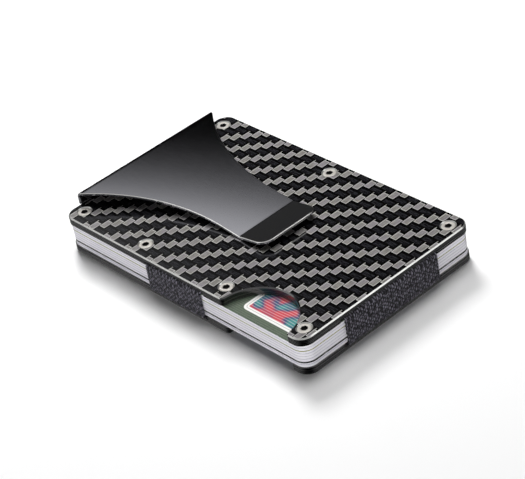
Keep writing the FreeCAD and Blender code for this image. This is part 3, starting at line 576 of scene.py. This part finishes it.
# The leaf's bow touches the crown's arc and the tip's arc. Its centre is found from theirs.
crown_x, crown_z = wall_x + CROWN, leaf_high.z - CROWN
tip_x, tip_z = wall_x + LEAF_REACH, lid_top + TIP_GAP + CLIP_THICK + TIP_BEND
apart = math.hypot(tip_x - crown_x, tip_z - crown_z)
to_crown, to_tip = BOW - CROWN, BOW + TIP_BEND
crown_corner = math.acos((to_crown ** 2 + apart ** 2 - to_tip ** 2) / (2 * to_crown * apart))
bowed = math.acos((to_crown ** 2 + to_tip ** 2 - apart ** 2) / (2 * to_crown * to_tip))
leaf_fall = crown_corner - math.atan2(tip_z - crown_z, tip_x - crown_x) - math.pi / 2
lip_top = LIP_RISE - TIP_BEND
lip_lift = math.atan2(lip_top, LIP_LENGTH) + math.asin(TIP_BEND / math.hypot(LIP_LENGTH, lip_top))
sweep_run, sweep_step = SWEEP_END - SWEEP_START, LEAF_HALF - NECK_HALF
sweep = (sweep_run ** 2 + sweep_step ** 2) / (2 * sweep_step)


def clip_path():
    """The strip's outer line from its foot to its tip: (x, z, heading) at each station."""
    x, z, heading = foot_high.x, foot_low.z, math.pi
    line = [(x, z, heading)]

    def straight(length, step):
        nonlocal x, z
        count = max(1, round(length / step))
        for _ in range(count):
            x += math.cos(heading) * length / count
            z += math.sin(heading) * length / count
            line.append((x, z, heading))

    def bend(radius, angle, steps):
        nonlocal x, z, heading
        chord = 2 * radius * math.sin(abs(angle) / steps / 2)
        for _ in range(steps):
            heading += angle / steps / 2
            x += math.cos(heading) * chord
            z += math.sin(heading) * chord
            heading += angle / steps / 2
            line.append((x, z, heading))

    straight(foot_high.x - wall_x - FOOT_BEND, FLAT_STEP)
    bend(FOOT_BEND, -math.pi / 2, FOOT_TURNS)
    straight(leaf_high.z - CROWN - foot_low.z - FOOT_BEND, WALL_STEP)
    bend(CROWN, -math.pi / 2 - leaf_fall, CROWN_TURNS)
    bend(BOW, -bowed, BOW_TURNS)
    bend(TIP_BEND, leaf_fall + bowed + lip_lift, TIP_TURNS)
    straight((lip_end - LIP_ROUND - x) / math.cos(lip_lift), FLAT_STEP)
    for number in range(1, LIP_TURNS + 1):
        place = lip_end - LIP_ROUND + LIP_ROUND * math.sin(math.pi / 2 * number / LIP_TURNS)
        straight((place - x) / math.cos(lip_lift), LIP_ROUND)
    return line


def clip_half_width(x, z, heading, inset):
    """Half the strip's width at a station, measured to a line inset from its edge."""
    on_foot = z < lid_top and heading == math.pi
    if on_foot:
        return (ear_half if x > wall_x + EAR_SETBACK + EAR_ROUND else WALL_HALF) - inset
    if x < wall_x + SWEEP_START:
        return (LEAF_HALF if z > lid_top + SHOULDER else WALL_HALF) - inset
    if x < wall_x + SWEEP_END:
        along = wall_x + SWEEP_END - x
        return NECK_HALF + sweep - math.sqrt(sweep ** 2 - along ** 2) - inset
    past = x - (lip_end - LIP_ROUND)
    if past <= 0:
        return NECK_HALF - inset
    return NECK_HALF - LIP_ROUND + math.sqrt(max(0.0, (LIP_ROUND - inset) ** 2 - past ** 2))


# Spring steel with a polished black vapour coating: it mirrors softly and has hardly any
# colour of its own, and handling leaves faint hairlines along it.
black_steel, tree = start_material("black_steel")
hairline = add(tree, "TexNoise", ("Vector", own_millimetres(
    tree, (0.12, 5.0, 5.0))), ("Scale", 1.0), ("Detail", 3.0))
smudge = add(tree, "TexNoise", ("Vector", own_millimetres(tree, (0.07, 0.07, 0.07))), ("Scale", 1.0))
add(tree, "OutputMaterial", add(
    tree, "BsdfPrincipled",
    ("Base Color", add(tree, "MixRGB", smudge, srgb("#b2b2b8"), srgb("#b8b8be"))),
    ("Metallic", 1.0),
    ("Roughness", add(tree, "MapRange", hairline, 0.3, 0.7, 0.06, 0.09))))

# The lifted tip is painted near black and matt: painted shade in place of the dark it mirrors.
tip_painted_shade, tree = start_material("tip_painted_shade")
tip_grain = add(tree, "TexNoise", ("Vector", own_millimetres(tree, (9, 9, 9))), ("Scale", 1.0))
add(tree, "OutputMaterial", add(
    tree, "BsdfPrincipled",
    ("Base Color", add(tree, "MixRGB", tip_grain, srgb("#0d0d0e"), srgb("#151516"))),
    ("Metallic", 0.2), ("Roughness", 0.5),
    ("Normal", add(tree, "Bump", 0.1, 0.02 * MM, ("Height", tip_grain)))))

# The deburred edge is bare steel, rubbed bright through the coating.
bare_edge, tree = start_material("bare_edge")
rub = add(tree, "TexNoise", ("Vector", own_millimetres(tree, (1.2, 1.2, 1.2))), ("Scale", 1.0))
add(tree, "OutputMaterial", add(
    tree, "BsdfPrincipled",
    ("Base Color", add(tree, "MixRGB", rub, srgb("#a8a8a6"), srgb("#e2e2e0"))),
    ("Metallic", 1.0), ("Roughness", 0.3)))

# The strip is a tube of one closed section: two faces of CLIP_COLUMNS each, and at each side
# a bevel, the cut edge and a bevel. Over the last station the faces bevel in to the end.
CLIP_COLUMNS = 16
SIDE_STEPS = 3
BLACK, SHADED_TIP, BARE = 0, 1, 2
stations = clip_path()
last = len(stations) - 1
around = 2 * (CLIP_COLUMNS + SIDE_STEPS)
# Where the tip's painted shade begins, just past its fold.
shaded_tip_from = tip_x + math.sin(lip_lift) * TIP_BEND
bm = bmesh.new()
bmesh.ops.create_grid(bm, x_segments=last, y_segments=around, size=0.5)
for face in bm.faces:
    spot = face.calc_center_median()
    station, step = (spot.x + 0.5) * last, (spot.y + 0.5) * around
    on_faces = step % (around / 2) < CLIP_COLUMNS
    top_bevel = around - 1 < step or CLIP_COLUMNS < step < CLIP_COLUMNS + 1
    face.material_index = BLACK
    if top_bevel or (step < CLIP_COLUMNS and station > last - 1):
        face.material_index = BARE
    elif on_faces and stations[int(station)][0] > shaded_tip_from:
        face.material_index = SHADED_TIP
for vertex in bm.verts:
    station = round((vertex.co.x + 0.5) * last)
    step = round((vertex.co.y + 0.5) * around) % around
    x, z, heading = stations[station]
    side, place = divmod(step, around // 2)
    depth, inset = CUT_BEVEL, 0.0
    if place <= CLIP_COLUMNS and station < last:
        depth, inset = 0.0, CUT_BEVEL
        back = max(0.0, x - (lip_end - CUT_BEVEL)) / math.cos(heading)
        x, z = x - back * math.cos(heading), z - back * math.sin(heading)
    half = clip_half_width(x, z, heading, inset)
    across = half * (2 * place / CLIP_COLUMNS - 1) if place <= CLIP_COLUMNS else half
    if place == CLIP_COLUMNS + 2:
        depth = CLIP_THICK - CUT_BEVEL
    if side:
        across, depth = -across, CLIP_THICK - depth
    vertex.co = Vector((x + depth * math.sin(heading), across, z - depth * math.cos(heading))) * MM
bmesh.ops.remove_doubles(bm, verts=bm.verts[:], dist=HAIR)
bmesh.ops.holes_fill(bm, edges=[edge for edge in bm.edges if edge.is_boundary], sides=0)
bmesh.ops.recalc_face_normals(bm, faces=bm.faces[:])
clip = show(bm, "money_clip", black_steel, tip_painted_shade, bare_edge)
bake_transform(clip)
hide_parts("clip_foot", "clip_leaf")

# ---------------------------------------------------------------- cards
# Eight laminated PVC cards fill the space between the plates. Each has a white core, a
# print on both faces under a clear overlay, and die-cut edges rounded by use.
CARD_BEVEL = 0.05             # mm
CARD_GAP = 0.01               # mm, off each face, so that one card slides clear of the next
CORNER_ANGLE = math.radians(60)     # a card's sides meet its faces at more than this
LEVEL = 0.01 * MM             # an edge whose ends differ less than this in height is level
CARDS = (                     # face, fine print, rim line, its height in mm, lowest card first
    ("#2b3550", "#8793ad", "#b9b6c6", 0.10),
    ("#17181b", "#3d3f45", "#0b0b0a", 0.42),
    ("#7a2331", "#c08a90", "#bdbac8", 0.10),
    ("#c9c4b4", "#8a8571", "#c2bfcc", 0.08),
    ("#24505c", "#79a1aa", "#b9b6c6", 0.10),
    ("#8d8f45", "#c2c48a", "#8c8d38", 0.17),
    ("#4a3a63", "#9187a8", "#bdbac8", 0.08),
    ("#3c4a3c", "#66735c", "#4b6b45", 0.12),
)
LABEL_LOW, LABEL_HIGH = (19.9, -24.8), (38.0, -13.0)     # mm, the framed label on the top card
LABEL_ROUND, LABEL_FRAME = 1.6, 1.35                     # mm, its corners and its white frame
LABEL_RULE, LABEL_RULE_HALF = 0.75, 0.06                 # mm, a thin line in the frame
PRINT_BLUR = 0.1                                         # mm, how soft a printed edge is

# The die-cut core: opaque white PVC, faintly violet beside the paper-white overlay.
pvc_core, tree = start_material("pvc_core")
core_grain = add(tree, "TexNoise", ("Vector", own_millimetres(
    tree, (0.15, 0.15, 14))), ("Scale", 1.0), ("Detail", 2.0))
add(tree, "OutputMaterial", add(
    tree, "BsdfPrincipled",
    ("Base Color", add(tree, "MixRGB", core_grain, srgb("#e2dfea"), srgb("#fbfafc"))),
    ("Roughness", 0.45)))


def card_print(number, ground, ink):
    """The face of one card: fine guilloche rings in ink on its ground."""
    material, tree = start_material(f"card_print_{number}")
    place = own_millimetres(tree)
    guilloche = add(tree, "TexWave", ("Vector", place), ("Scale", 0.55), ("Distortion", 5.0),
                    ("Detail", 1.0), ("Detail Scale", 0.12), wave_type="RINGS")
    speckle = add(tree, "TexNoise", ("Vector", own_millimetres(
        tree, (2.2, 2.2, 2.2))), ("Scale", 1.0))
    share = add(tree, "Math", add(
        tree, "MapRange", guilloche, 0.72, 0.95), 0.6, operation="MULTIPLY")
    share = add(tree, "Math", share, add(
        tree, "MapRange", speckle, 0.4, 0.75, 0.0, 0.35), operation="ADD")
    return material, tree, add(tree, "MixRGB", share, srgb(ground), srgb(ink))


def label_print(tree, around_it):
    """A rounded label with a white frame and a washed motif in it, on a card of another colour."""
    spot = add(tree, "SeparateXYZ", own_millimetres(tree))
    middle = [(a + b) / 2 for a, b in zip(LABEL_LOW, LABEL_HIGH)]
    half = [(b - a) / 2 - LABEL_ROUND for a, b in zip(LABEL_LOW, LABEL_HIGH)]
    past = [add(tree, "Math", add(tree, "Math", add(
        tree, "Math", spot.outputs[axis], middle[axis], operation="SUBTRACT"),
        operation="ABSOLUTE"), half[axis], operation="SUBTRACT") for axis in (0, 1)]
    corner = [add(tree, "Math", value, 0.0, operation="MAXIMUM") for value in past]
    distance = add(tree, "VectorMath", add(
        tree, "CombineXYZ", *corner), operation="LENGTH").outputs["Value"]

    waves = add(tree, "TexWave", ("Vector", own_millimetres(tree)), ("Scale", 0.42),
                ("Distortion", 3.5), ("Detail", 1.0), ("Detail Scale", 0.25),
                bands_direction="Y")
    wash = add(tree, "TexNoise", ("Vector", own_millimetres(
        tree, (0.22, 0.22, 1))), ("Scale", 1.0), ("Detail", 1.0))
    motif = add(tree, "MixRGB", add(
        tree, "MapRange", wash, 0.38, 0.50), srgb("#16817f"), srgb("#1d3365"))
    motif = add(tree, "MixRGB", add(
        tree, "MapRange", wash, 0.50, 0.60), motif, srgb("#c02f40"))
    motif = add(tree, "MixRGB", add(
        tree, "MapRange", waves, 0.70, 0.95, 0.0, 0.35), motif, srgb("#e8dcd8"))

    frame_start = LABEL_ROUND - LABEL_FRAME
    in_frame = add(tree, "MapRange", distance, frame_start, frame_start + PRINT_BLUR)
    framed = add(tree, "MixRGB", in_frame, motif, srgb("#efeeeb"))
    rule = add(tree, "Math", distance, LABEL_ROUND - LABEL_RULE, LABEL_RULE_HALF,
               operation="COMPARE")
    framed = add(tree, "MixRGB", rule, framed, srgb("#9a9a98"))
    outside = add(tree, "MapRange", distance, LABEL_ROUND - PRINT_BLUR, LABEL_ROUND)
    return add(tree, "MixRGB", outside, framed, around_it)


def close_card_print(tree, colour):
    """Gives a card's print its overlay: clear PVC with an eggshell finish."""
    add(tree, "OutputMaterial", add(
        tree, "BsdfPrincipled", ("Base Color", colour), ("Roughness", 0.4), ("Coat Weight", 0.4),
        ("Coat Roughness", 0.25)))


for number, (ground, ink, rim, rim_height) in enumerate(CARDS, start=1):
    material, tree, colour = card_print(number, ground, ink)
    if number == len(CARDS):
        colour = label_print(tree, colour)
    close_card_print(tree, colour)

    rim_line, tree = start_material(f"card_rim_{number}")
    wear = add(tree, "TexNoise", ("Vector", own_millimetres(tree, (0.4, 0.4, 1))), ("Scale", 1.0))
    add(tree, "OutputMaterial", add(
        tree, "BsdfPrincipled",
        ("Base Color", add(tree, "MixRGB", add(
            tree, "MapRange", wear, 0.6, 0.8), srgb(rim), srgb("#c9c7cf"))),
        ("Roughness", 0.5)))

    node = f"card_{number}"
    bm = merged_copy(node)
    face_edges = [edge for edge in bm.edges if len(edge.link_faces) == 2
                  and edge.calc_face_angle() > CORNER_ANGLE
                  and abs(edge.verts[0].co.z - edge.verts[1].co.z) < LEVEL]
    bmesh.ops.bevel(
        bm, geom=face_edges, offset=CARD_BEVEL * MM, offset_type="OFFSET", affect="EDGES",
        segments=2, profile=0.5, material=-1)
    card_low, card_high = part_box(node)
    for vertex in bm.verts:
        inwards = 1 if vertex.co.z < (card_low.z + card_high.z) / 2 else -1
        vertex.co.z += inwards * CARD_GAP * MM
    rim_bottom = card_high.z - rim_height * MM
    bmesh.ops.bisect_plane(
        bm, geom=bm.verts[:] + bm.edges[:] + bm.faces[:], dist=HAIR,
        plane_co=(0, 0, rim_bottom), plane_no=(0, 0, 1))
    for face in bm.faces:
        face.material_index = 0
        if abs(face.normal.z) > FLAT_SLOPE:
            face.material_index = 1
        elif face.calc_center_median().z > rim_bottom:
            face.material_index = 2
    card = show(bm, f"{node}_laminate", pvc_core, material, rim_line)
    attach(card, node)
    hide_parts(node)
